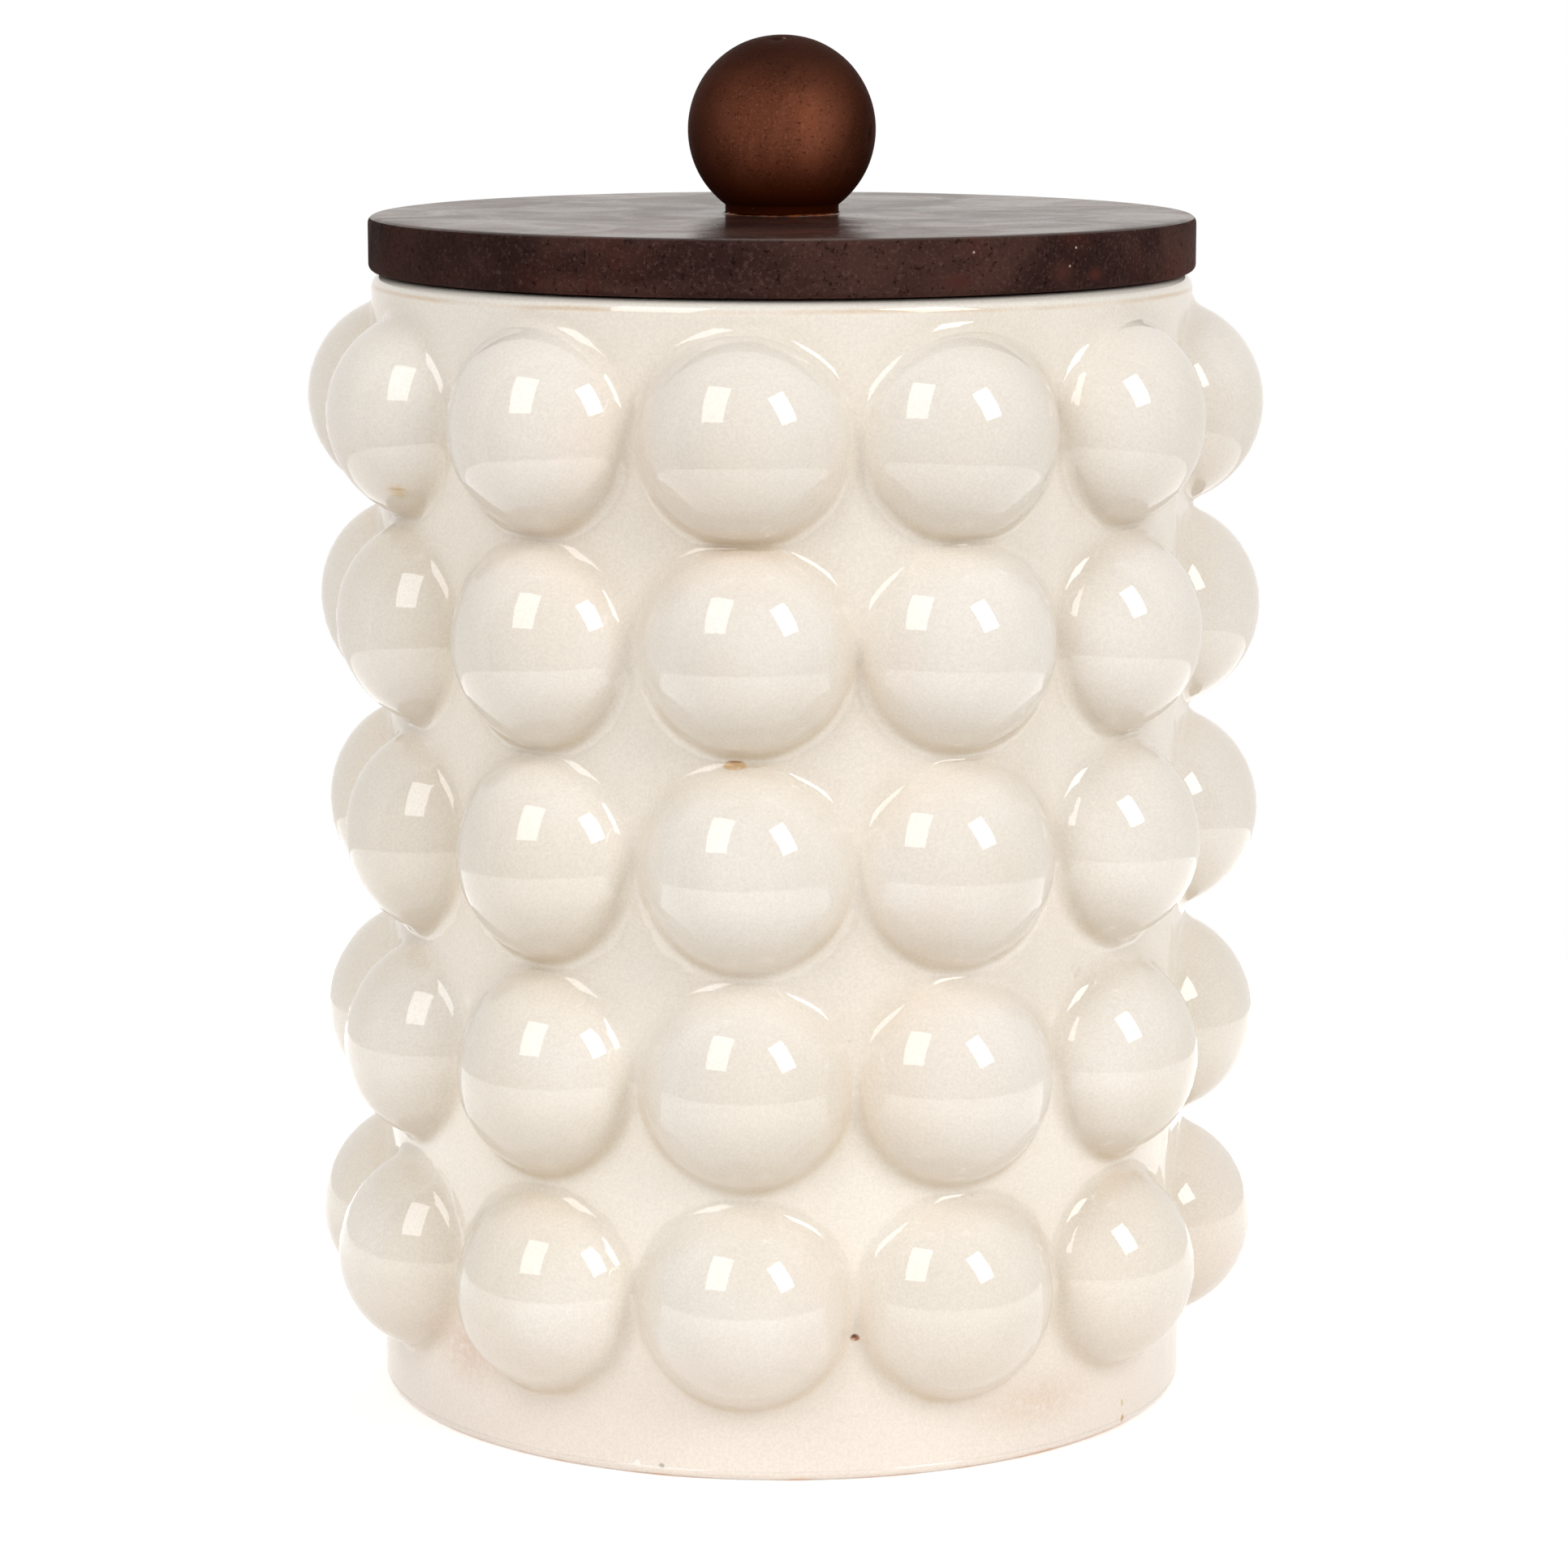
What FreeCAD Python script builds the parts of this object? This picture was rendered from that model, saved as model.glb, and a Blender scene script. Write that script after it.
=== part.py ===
import FreeCAD
import Part
import math
import os

# A round stoneware storage jar with a dark wooden lid, in millimetres.
# The jar stands on z = 0 with its axis on Z, and its front is towards -Y.
# The jar is one slip-cast piece. Its outside carries rows of domed bosses,
# and its wall has an even thickness, so each boss is a dimple on the inside.
# The lid is a flat disc with a smaller plug glued under it. A soft ring sits
# in a groove round the plug. A turned ball stands on the lid as its knob,
# held by a screw from below and by glue, some of which shows round its foot.

# Jar body
jar_height = 180.5
body_radius = 65.5
wall = 5.0
floor_thickness = 6.5
floor_corner_round = 5.4
base_edge_round = 1.6
rim_outer_round = 2.0
rim_inner_round = 1.6

# Foot ring, left without glaze, and the shallow recess inside it
foot_ring_width = 9.0
foot_recess = 1.5
foot_recess_round = 1.0

# Bosses on the jar, and the least bare wall that stays between them
boss_radius = 16.2
boss_height = 11.7
boss_root_round = 1.5
dimple_mouth_round = 2.5
bare_wall_around = 1.5
bare_wall_between_rows = 0.9
bare_wall_below = 10.7
bare_wall_above = 5.2
front_boss_turn = -5.0
row_spread_share = 0.034
fillet_room_share = 0.46

# Lid disc
lid_overhang = 0.4
lid_thickness = 8.8
lid_edge_round = 1.1
lid_seat_gap = 0.3

# Plug under the lid, with the groove for the soft ring
plug_depth = 9.0
plug_mouth_gap = 1.6
plug_edge_round = 1.0
groove_depth = 2.4
groove_height = 3.7
groove_below_lid = 2.6

# Soft ring, with two lips that reach for the mouth
seal_clearance = 0.25
seal_mouth_gap = 0.3
seal_band = 1.2
seal_lip = 0.9
seal_lip_round = 0.3

# Ball knob, with a short turned foot
knob_radius = 15.0
knob_centre_height = 13.3
knob_foot_radius = 9.1

# Glue that has been squeezed out round the knob's foot
glue_width = 0.7
glue_height = 0.6
glue_round = 0.4
glue_clearance = 0.05

# Countersunk wood screw that holds the knob from below
screw_length = 31.0
screw_radius = 2.0
screw_core_radius = 1.4
screw_head_radius = 4.0
screw_head_land = 0.4
screw_head_recess = 0.4
screw_thread_length = 18.0
screw_thread_pitch = 1.8
screw_tip_length = 2.8
screw_clearance = 0.15
cross_slot_length = 4.2
cross_slot_width = 0.9
cross_slot_depth = 1.6

# A cutting body runs past the face that it opens by this much.
overrun = 1.0

full_turn = 360.0
quarter_turn = 90.0
origin = FreeCAD.Vector(0, 0, 0)
along_x = FreeCAD.Vector(1, 0, 0)
along_z = FreeCAD.Vector(0, 0, 1)

# Places that follow from the sizes above
mouth_radius = body_radius - wall
foot_ring_inside = body_radius - base_edge_round - foot_ring_width
boss_centre_radius = body_radius + boss_height - boss_radius
dimple_radius = boss_radius - wall
lid_radius = body_radius + lid_overhang
lid_bottom = jar_height + lid_seat_gap
lid_top = lid_bottom + lid_thickness
plug_radius = mouth_radius - plug_mouth_gap
plug_bottom = lid_bottom - plug_depth
groove_radius = plug_radius - groove_depth
groove_top = lid_bottom - groove_below_lid
groove_bottom = groove_top - groove_height
knob_centre = lid_top + knob_centre_height
screw_bottom = plug_bottom + screw_head_recess
screw_top = screw_bottom + screw_length
screw_hole_radius = screw_radius + screw_clearance


def corner(x, z, rounding=0):
    """A corner of a profile at radius x and height z, with the radius that rounds it."""
    return FreeCAD.Vector(x, 0, z), rounding


def profile(*corners):
    """Edges of a closed profile. Each round is an arc that meets both of its sides smoothly."""
    cuts = []
    for k, (here, rounding) in enumerate(corners):
        back = (corners[k - 1][0] - here).normalize()
        ahead = (corners[(k + 1) % len(corners)][0] - here).normalize()
        half_angle = back.getAngle(ahead) / 2
        reach = rounding / math.tan(half_angle)
        depth = rounding / math.sin(half_angle) - rounding
        middle = here + (back + ahead).normalize() * depth if rounding else here
        cuts.append((here + back * reach, middle, here + ahead * reach))
    edges = []
    for k, (start, middle, end) in enumerate(cuts):
        if corners[k][1]:
            edges.append(Part.Arc(start, middle, end).toShape())
        edges.append(Part.LineSegment(end, cuts[(k + 1) % len(cuts)][0]).toShape())
    return edges


def turned(edges):
    """The solid that a closed profile sweeps in one turn about Z."""
    return Part.Face(Part.Wire(edges)).revolve(origin, along_z, full_turn)


def reach_on_wall(ball_radius, wall_radius):
    """Half the height, and half the angle round the jar, of the ring where a boss's ball meets a wall."""
    half_height = math.sqrt(ball_radius ** 2 - (wall_radius - boss_centre_radius) ** 2)
    squares = wall_radius ** 2 + boss_centre_radius ** 2 - ball_radius ** 2
    half_angle = math.acos(squares / (2 * wall_radius * boss_centre_radius))
    return half_height, half_angle


def boss_places():
    """Heights of the rows and turns of the columns: as many as leave the least bare wall between them."""
    half_height, half_angle = reach_on_wall(boss_radius, body_radius)
    lowest = bare_wall_below + half_height
    highest = jar_height - bare_wall_above - half_height
    closest = (2 * half_height + bare_wall_between_rows) / (1 - row_spread_share)
    gaps = max(1, math.floor((highest - lowest) / closest))
    # The rows draw together evenly from the foot to the rim, about the same mean.
    mean = (highest - lowest) / gaps
    heights = [lowest]
    for k in range(gaps):
        spread = row_spread_share * (1 - 2 * k / max(1, gaps - 1)) if gaps > 1 else 0
        heights.append(heights[-1] + mean * (1 + spread))
    width = 2 * half_angle * body_radius + bare_wall_around
    columns = math.floor(2 * math.pi * body_radius / width)
    turns = [front_boss_turn + full_turn * k / columns for k in range(columns)]
    return heights, turns


def boss_balls(radius):
    """One ball of this radius at the centre of each boss, with its poles along the boss's own axis."""
    heights, turns = boss_places()
    balls = []
    for height in heights:
        for turn in turns:
            ball = Part.makeSphere(radius)
            ball.rotate(origin, along_x, quarter_turn)
            ball.translate(FreeCAD.Vector(0, -boss_centre_radius, height))
            ball.rotate(origin, along_z, turn)
            balls.append(ball)
    return balls


def seam_between_columns(solid):
    """Turns a round solid until its seam runs up the bare wall between two columns."""
    turns = boss_places()[1]
    solid.rotate(origin, along_z, (turns[0] + turns[1]) / 2 - quarter_turn)
    return solid


def rings_on_wall(solid, wall_radius):
    """The edges where the balls meet the round wall of this radius."""
    balls = [face for face in solid.Faces if isinstance(face.Surface, Part.Sphere)]
    rounds = [face for face in solid.Faces if isinstance(face.Surface, Part.Cylinder)]
    walls = [face for face in rounds if math.isclose(face.Surface.Radius, wall_radius)]
    wall_edges = [edge for face in walls for edge in face.Edges]
    ball_edges = [edge for face in balls for edge in face.Edges]
    return [edge for edge in ball_edges if any(edge.isSame(other) for other in wall_edges)]


def ring_round(wanted, ball_radius, wall_radius, low, high):
    """The fillet round every boss, kept to the room on the wall between low and high."""
    heights, turns = boss_places()
    half_height, half_angle = reach_on_wall(ball_radius, wall_radius)
    rooms = [above - below - 2 * half_height for below, above in zip(heights, heights[1:])]
    rooms.append(wall_radius * (math.radians(turns[1] - turns[0]) - 2 * half_angle))
    rooms.append(2 * (heights[0] - half_height - low))
    rooms.append(2 * (high - heights[-1] - half_height))
    room = fillet_room_share * min(rooms)
    return min(wanted, room * (2 * half_height + room) / (2 * boss_height))


def jar_outside():
    """The outside of the jar, filled, down to the recess inside its foot ring."""
    drum = turned(profile(
        corner(0, foot_recess),
        corner(foot_ring_inside, foot_recess, foot_recess_round),
        corner(foot_ring_inside, 0),
        corner(body_radius, 0, base_edge_round),
        corner(body_radius, jar_height, rim_outer_round),
        corner(0, jar_height),
    ))
    bossed = seam_between_columns(drum).fuse(boss_balls(boss_radius))
    low, high = base_edge_round, jar_height - rim_outer_round
    fillet = ring_round(boss_root_round, boss_radius, body_radius, low, high)
    return bossed.makeFillet(fillet, rings_on_wall(bossed, body_radius))


def jar_inside():
    """The hollow of the jar, with a dimple behind each boss and a flare that rounds the mouth."""
    flare = mouth_radius + 2 * rim_inner_round
    bore = turned(profile(
        corner(0, floor_thickness),
        corner(mouth_radius, floor_thickness, floor_corner_round),
        corner(mouth_radius, jar_height, rim_inner_round),
        corner(flare, jar_height),
        corner(flare, jar_height + overrun),
        corner(0, jar_height + overrun),
    ))
    dimpled = seam_between_columns(bore).fuse(boss_balls(dimple_radius))
    low, high = floor_thickness + floor_corner_round, jar_height - rim_inner_round
    fillet = ring_round(dimple_mouth_round, dimple_radius, mouth_radius, low, high)
    return dimpled.makeFillet(fillet, rings_on_wall(dimpled, mouth_radius))


def jar_body():
    """The glazed jar with its bosses, as one hollow casting."""
    return jar_outside().cut(jar_inside())


def lid_disc():
    """The flat wooden disc that covers the mouth, with the screw's hole through it."""
    return turned(profile(
        corner(screw_hole_radius, lid_bottom),
        corner(lid_radius, lid_bottom, lid_edge_round),
        corner(lid_radius, lid_top, lid_edge_round),
        corner(screw_hole_radius, lid_top),
    ))


def lid_plug():
    """The smaller disc under the lid, grooved for the soft ring and countersunk for the screw."""
    sink_radius = screw_head_radius + screw_clearance
    sink_edge = screw_bottom + screw_head_land
    return turned(profile(
        corner(screw_hole_radius, lid_bottom),
        corner(screw_hole_radius, sink_edge + sink_radius - screw_hole_radius),
        corner(sink_radius, sink_edge),
        corner(sink_radius, plug_bottom),
        corner(plug_radius, plug_bottom, plug_edge_round),
        corner(plug_radius, groove_bottom),
        corner(groove_radius, groove_bottom),
        corner(groove_radius, groove_top),
        corner(plug_radius, groove_top),
        corner(plug_radius, lid_bottom),
    ))


def seal_ring():
    """The soft ring in the plug's groove: a band with a lip along each edge."""
    inside = groove_radius + seal_clearance
    band = inside + seal_band
    reach = mouth_radius - seal_mouth_gap
    low = groove_bottom + seal_clearance
    high = groove_top - seal_clearance
    return turned(profile(
        corner(inside, low),
        corner(reach, low, seal_lip_round),
        corner(reach, low + seal_lip, seal_lip_round),
        corner(band, low + seal_lip),
        corner(band, high - seal_lip),
        corner(reach, high - seal_lip, seal_lip_round),
        corner(reach, high, seal_lip_round),
        corner(inside, high),
    ))


def knob_ball():
    """The ball, which runs into a short foot of its own, bored from below for the screw."""
    drop = math.sqrt(knob_radius ** 2 - knob_foot_radius ** 2)
    crown = FreeCAD.Vector(0, 0, knob_centre + knob_radius)
    side = FreeCAD.Vector(knob_radius, 0, knob_centre)
    neck = FreeCAD.Vector(knob_foot_radius, 0, knob_centre - drop)
    bore_top = screw_top + screw_clearance
    path = [
        neck,
        FreeCAD.Vector(knob_foot_radius, 0, lid_top),
        FreeCAD.Vector(screw_hole_radius, 0, lid_top),
        FreeCAD.Vector(screw_hole_radius, 0, bore_top),
        FreeCAD.Vector(0, 0, bore_top + screw_hole_radius),
        crown,
    ]
    edges = [Part.Arc(crown, side, neck).toShape()]
    edges += [Part.LineSegment(start, end).toShape() for start, end in zip(path, path[1:])]
    return turned(edges)


def knob_glue_bead():
    """The bead of hardened glue in the corner between the knob's foot and the lid."""
    inside = knob_foot_radius + glue_clearance
    return turned(profile(
        corner(inside, lid_top),
        corner(inside + glue_width, lid_top),
        corner(inside + glue_width, lid_top + glue_height, glue_round),
        corner(inside, lid_top + glue_height),
    ))


def knob_screw():
    """The countersunk wood screw, with its thread as a row of ridges and a cross cut in its head."""
    sink_edge = screw_bottom + screw_head_land
    tip_start = screw_top - screw_tip_length
    corners = [
        corner(0, screw_bottom),
        corner(screw_head_radius, screw_bottom),
        corner(screw_head_radius, sink_edge),
        corner(screw_radius, sink_edge + screw_head_radius - screw_radius),
    ]
    ridges = max(1, math.floor((screw_thread_length - screw_tip_length) / screw_thread_pitch))
    for k in range(ridges, 0, -1):
        root = tip_start - k * screw_thread_pitch
        corners.append(corner(screw_core_radius, root))
        corners.append(corner(screw_radius, root + screw_thread_pitch / 2))
    corners.append(corner(screw_core_radius, tip_start))
    corners.append(corner(0, screw_top))
    screw = turned(profile(*corners))
    for turn in (0, quarter_turn):
        slot = Part.makeBox(cross_slot_length, cross_slot_width, cross_slot_depth + overrun)
        slot.translate(FreeCAD.Vector(-cross_slot_length / 2, -cross_slot_width / 2, screw_bottom - overrun))
        slot.rotate(origin, along_z, turn)
        screw = screw.cut(slot)
    return screw


pieces = [jar_body, lid_disc, lid_plug, seal_ring, knob_ball, knob_glue_bead, knob_screw]

os.makedirs("parts", exist_ok=True)
for piece in pieces:
    shape = piece()
    shape.exportStep("parts/" + piece.__name__ + ".step")
    print(piece.__name__, "solids", len(shape.Solids), "valid", shape.isValid(), "volume", round(shape.Volume, 1))
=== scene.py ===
import bpy
import math
import numpy as np
from mathutils import Matrix, Vector


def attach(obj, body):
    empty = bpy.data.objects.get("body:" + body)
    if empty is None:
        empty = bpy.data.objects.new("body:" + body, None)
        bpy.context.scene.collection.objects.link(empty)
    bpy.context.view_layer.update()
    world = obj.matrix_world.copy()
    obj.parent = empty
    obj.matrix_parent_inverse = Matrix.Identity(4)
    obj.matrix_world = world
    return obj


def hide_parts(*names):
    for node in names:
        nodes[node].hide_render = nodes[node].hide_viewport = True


# Glazed stoneware jar with rows of domed bosses, a dark wooden lid and a ball knob.
# Shapes are worked out in millimetres, with the front towards -Y, and go into the meshes in metres.

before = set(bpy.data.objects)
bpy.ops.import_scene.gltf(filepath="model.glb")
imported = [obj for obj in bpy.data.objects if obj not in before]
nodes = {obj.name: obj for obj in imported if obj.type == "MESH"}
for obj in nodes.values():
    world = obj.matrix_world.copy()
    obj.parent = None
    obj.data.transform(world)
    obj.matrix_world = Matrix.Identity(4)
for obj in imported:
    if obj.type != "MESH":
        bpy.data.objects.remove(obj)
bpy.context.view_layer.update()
metre = 0.001
fullTurn = 2 * math.pi
print("frame loaded")


# Meshes from grids

def gridQuads(rows, columns, first=0):
    # quads of a grid whose columns close round the axis and whose rows follow a profile
    row = first + np.arange(rows - 1)[:, None] * columns
    here = np.arange(columns)[None, :]
    beside = (here + 1) % columns
    return np.stack([row + here, row + beside, row + columns + beside, row + columns + here], -1).reshape(-1, 4)


def fanFaces(pole, ring, columns, poleFirst):
    # triangles between a ring of points and the single point at its pole
    here = ring + np.arange(columns)
    beside = ring + (np.arange(columns) + 1) % columns
    middle = np.full(columns, pole)
    return np.stack([middle, beside, here] if poleFirst else [here, beside, middle], -1)


def closedFaces(rows, columns):
    # quads of a grid that closes round the axis, and whose last row meets its first
    last = (rows - 1) * columns
    here = np.arange(columns)
    beside = (here + 1) % columns
    return gridQuads(rows, columns).tolist() + np.stack([last + here, last + beside, beside, here], -1).tolist()


def makePiece(name, points, faces, body, materials, replaced, shades=None, finishes=None):
    # points are in millimetres; shades are named values per point that the material reads, and finishes say
    # which of the materials each face has
    mesh = bpy.data.meshes.new(name)
    mesh.from_pydata((points * metre).tolist(), [], faces)
    for key, values in (shades or {}).items():
        layer = mesh.attributes.new(key, "FLOAT", "POINT")
        layer.data.foreach_set("value", values.astype(np.float32))
    mesh.shade_smooth()
    for material in materials:
        mesh.materials.append(material)
    if finishes is not None:
        mesh.polygons.foreach_set("material_index", finishes.astype(np.int32))
    piece = bpy.data.objects.new(name, mesh)
    bpy.context.scene.collection.objects.link(piece)
    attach(piece, body)
    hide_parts(*replaced)
    print(name, len(mesh.vertices), "points", len(mesh.polygons), "faces")
    return piece


def roundedPath(corners, steps=6, closed=False):
    # a profile through corners (radius, height, rounding): each rounding is an arc that meets both of its sides
    spots = np.array([corner[:2] for corner in corners], float)
    path = []
    for k, corner in enumerate(corners):
        rounding = corner[2]
        if not rounding or (not closed and k in (0, len(corners) - 1)):
            path.append(spots[k][None, :])
            continue
        back = spots[k - 1] - spots[k]
        ahead = spots[(k + 1) % len(spots)] - spots[k]
        back /= np.linalg.norm(back)
        ahead /= np.linalg.norm(ahead)
        halfAngle = math.acos(np.clip(back @ ahead, -1, 1)) / 2
        reach = rounding / math.tan(halfAngle)
        middle = spots[k] + (back + ahead) / np.linalg.norm(back + ahead) * rounding / math.sin(halfAngle)
        start = spots[k] + back * reach - middle
        end = spots[k] + ahead * reach - middle
        sweep = math.pi - 2 * halfAngle
        share = np.linspace(0, 1, steps)[:, None]
        path.append(middle + (start * np.sin((1 - share) * sweep) + end * np.sin(share * sweep)) / math.sin(sweep))
    return np.concatenate(path)


def fillPath(path, longest, closed=False):
    # more points along a profile, until no step is longer than this
    whole = np.concatenate([path, path[:1]]) if closed else path
    steps = np.linalg.norm(np.diff(whole, axis=0), axis=1)
    parts = [np.linspace(0, 1, max(1, math.ceil(step / longest)), endpoint=False)[:, None] * (b - a) + a
             for a, b, step in zip(whole[:-1], whole[1:], steps)]
    return np.concatenate(parts if closed else parts + [path[-1:]])


def turnedGrid(path, columns):
    # each point of the profile carried once round the axis
    angle = np.arange(columns) / columns * fullTurn
    radius = path[:, 0][:, None]
    height = np.broadcast_to(path[:, 1][:, None], (len(path), columns))
    return np.stack([radius * np.cos(angle), radius * np.sin(angle), height], -1)


def softNoise(points, size, seed, waves=16):
    # a smooth random field between about -1 and 1: sine waves of about this length in random directions
    rng = np.random.default_rng(seed)
    direction = rng.normal(size=(waves, 3))
    lengths = size * rng.uniform(0.7, 1.5, (waves, 1)) * np.linalg.norm(direction, axis=1)[:, None]
    phase = rng.uniform(0, fullTurn, waves)
    return np.sin(points @ (direction / lengths * fullTurn).T + phase).sum(-1) / math.sqrt(waves) * 0.8


# Materials from nodes

def paint(red, green, blue):
    # a colour as it shows on a display, 0 to 255, as the shader's linear value
    shares = np.array([red, green, blue]) / 255
    linear = np.where(shares <= 0.04045, shares / 12.92, ((shares + 0.055) / 1.055) ** 2.4)
    return (*linear.tolist(), 1.0)


def newMaterial(name, roughness, ior=1.5):
    material = bpy.data.materials.new(name)
    material.use_nodes = True
    shader = material.node_tree.nodes["Principled BSDF"]
    shader.inputs["Roughness"].default_value = roughness
    shader.inputs["IOR"].default_value = ior
    return material, material.node_tree, shader


def addNode(tree, kind, inputs=None, **settings):
    made = tree.nodes.new("ShaderNode" + kind)
    for key, value in settings.items():
        setattr(made, key, value)
    for key, value in (inputs or {}).items():
        if isinstance(value, bpy.types.NodeSocket):
            tree.links.new(value, made.inputs[key])
        else:
            made.inputs[key].default_value = value
    return made


def placeOn(tree, stretch=(1, 1, 1)):
    # the piece's own coordinates in metres, stretched for grain that runs one way
    place = addNode(tree, "TexCoord").outputs["Object"]
    if stretch == (1, 1, 1):
        return place
    return addNode(tree, "Mapping", {"Vector": place, "Scale": stretch}).outputs["Vector"]


def noiseOn(tree, place, scale, detail=3.0, roughness=0.5, distortion=0.0):
    inputs = {"Vector": place, "Scale": scale, "Detail": detail, "Roughness": roughness, "Distortion": distortion}
    return addNode(tree, "TexNoise", inputs).outputs["Fac"]


def levels(tree, value, low, high, toLow=0.0, toHigh=1.0):
    # value between low and high becomes toLow to toHigh, and is held there beyond
    inputs = {"Value": value, "From Min": low, "From Max": high, "To Min": toLow, "To Max": toHigh}
    return addNode(tree, "MapRange", inputs, interpolation_type="SMOOTHSTEP").outputs["Result"]


def combine(tree, operation, first, second):
    made = addNode(tree, "Math", {0: first, 1: second}, operation=operation)
    return made.outputs["Value"]


def blend(tree, share, first, second, how="MIX"):
    made = addNode(tree, "Mix", data_type="RGBA", blend_type=how)
    for key, value in ((0, share), (6, first), (7, second)):
        if isinstance(value, bpy.types.NodeSocket):
            tree.links.new(value, made.inputs[key])
        else:
            made.inputs[key].default_value = value
    return made.outputs[2]


def attribute(tree, name):
    return addNode(tree, "Attribute", attribute_name=name).outputs["Fac"]


def nearSpot(tree, place, spot, radii, softness=0.5):
    # 1 in the heart of a small ellipsoid round the spot (millimetres), falling to 0 at its skin
    centre, size = [part * metre for part in spot], [part * metre for part in radii]
    away = addNode(tree, "VectorMath", {0: place, 1: centre}, operation="SUBTRACT").outputs["Vector"]
    shares = addNode(tree, "VectorMath", {0: away, 1: size}, operation="DIVIDE").outputs["Vector"]
    distance = addNode(tree, "VectorMath", {0: shares}, operation="LENGTH").outputs["Value"]
    return levels(tree, distance, 1 - softness, 1.0, 1.0, 0.0)


def bumpFrom(tree, shader, *layers):
    # each layer is (height value, its depth in metres); the bumps are chained into one normal
    normal = None
    for height, depth in layers:
        inputs = {"Height": height, "Distance": depth, "Strength": 1.0}
        if normal is not None:
            inputs["Normal"] = normal
        normal = addNode(tree, "Bump", inputs).outputs["Normal"]
    tree.links.new(normal, shader.inputs["Normal"])


# Glaze

glaze = {
    "ivory": (243, 236, 226),
    "cream": (238, 229, 215),
    "blush": (240, 226, 211),
    "wallWash": (250, 241, 228),
    "footBlushAndBounce": (243, 231, 221),
    "footBlushAndBounceTop": 0.032,
    "rimHighlight": (247, 241, 230),
    "domeUndersideShade": (222, 210, 194),
    "pooledAndShade": (210, 187, 150),
    "deepPoolAndShade": (177, 151, 116),
    "rimLine": (216, 184, 144),
    "bareClay": (224, 170, 120),
    "speck": (190, 164, 128),
    "gloss": (0.02, 0.045),
    "ior": 1.56,
    "driftScale": 28.0,
    "blushScale": 19.0,
    "mottleScale": 160.0,
    "poolScale": 60.0,
    "speckScale": 170.0,
    "grainScale": 2200.0,
    "skinScale": 70.0,
    "skinDepth": 0.00002,
    "peelScale": 900.0,
    "peelDepth": 0.0000003,
    "rimHeight": 0.1787,
    "lineWander": 0.0022,
    "bareTop": (0.0015, 0.0010),
    "marks": (
        ((-7.1, -65.6, 111.3), (2.1, 1.6, 0.75), 0.3, (222, 186, 138)),
        ((-7.0, -65.6, 111.9), (1.7, 1.6, 0.24), 0.6, (176, 128, 80)),
        ((11.1, -64.6, 22.8), (1.0, 1.0, 0.75), 0.5, (168, 98, 36)),
        ((11.0, -64.6, 23.0), (0.6, 0.6, 0.4), 0.5, (84, 50, 26)),
        ((-23.8, -61.0, 123.4), (0.4, 0.4, 0.4), 0.5, (160, 104, 58)),
        ((-37.8, -53.5, 110.2), (0.35, 0.35, 0.3), 0.5, (205, 150, 80)),
        ((53.9, -37.2, 4.2), (0.5, 0.5, 0.8), 0.6, (216, 184, 132)),
        ((54.0, -37.1, 1.6), (0.6, 0.6, 0.9), 0.6, (206, 164, 104)),
        ((-18.5, -62.8, 1.9), (0.6, 0.6, 0.5), 0.5, (186, 180, 168)),
        ((56.6, -32.9, 174.5), (0.6, 0.6, 0.5), 0.6, (120, 110, 96)),
        ((0.2, -65.5, 174.4), (0.3, 0.3, 0.3), 0.5, (140, 128, 112)),
        ((-59.0, -37.0, 149.2), (2.6, 2.6, 2.2), 0.9, (224, 200, 166)),
        ((-59.0, -37.0, 149.6), (2.2, 2.2, 0.3), 0.9, (206, 174, 130)),
        ((-49.0, -43.5, 15.5), (13.0, 13.0, 9.0), 1.0, (228, 206, 188)),
        ((40.0, -52.0, 9.0), (20.0, 16.0, 7.0), 1.0, (236, 218, 200)),
    ),
    "blister": ((45.2, -47.4, 76.4), 1.5, 0.4),
}


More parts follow.
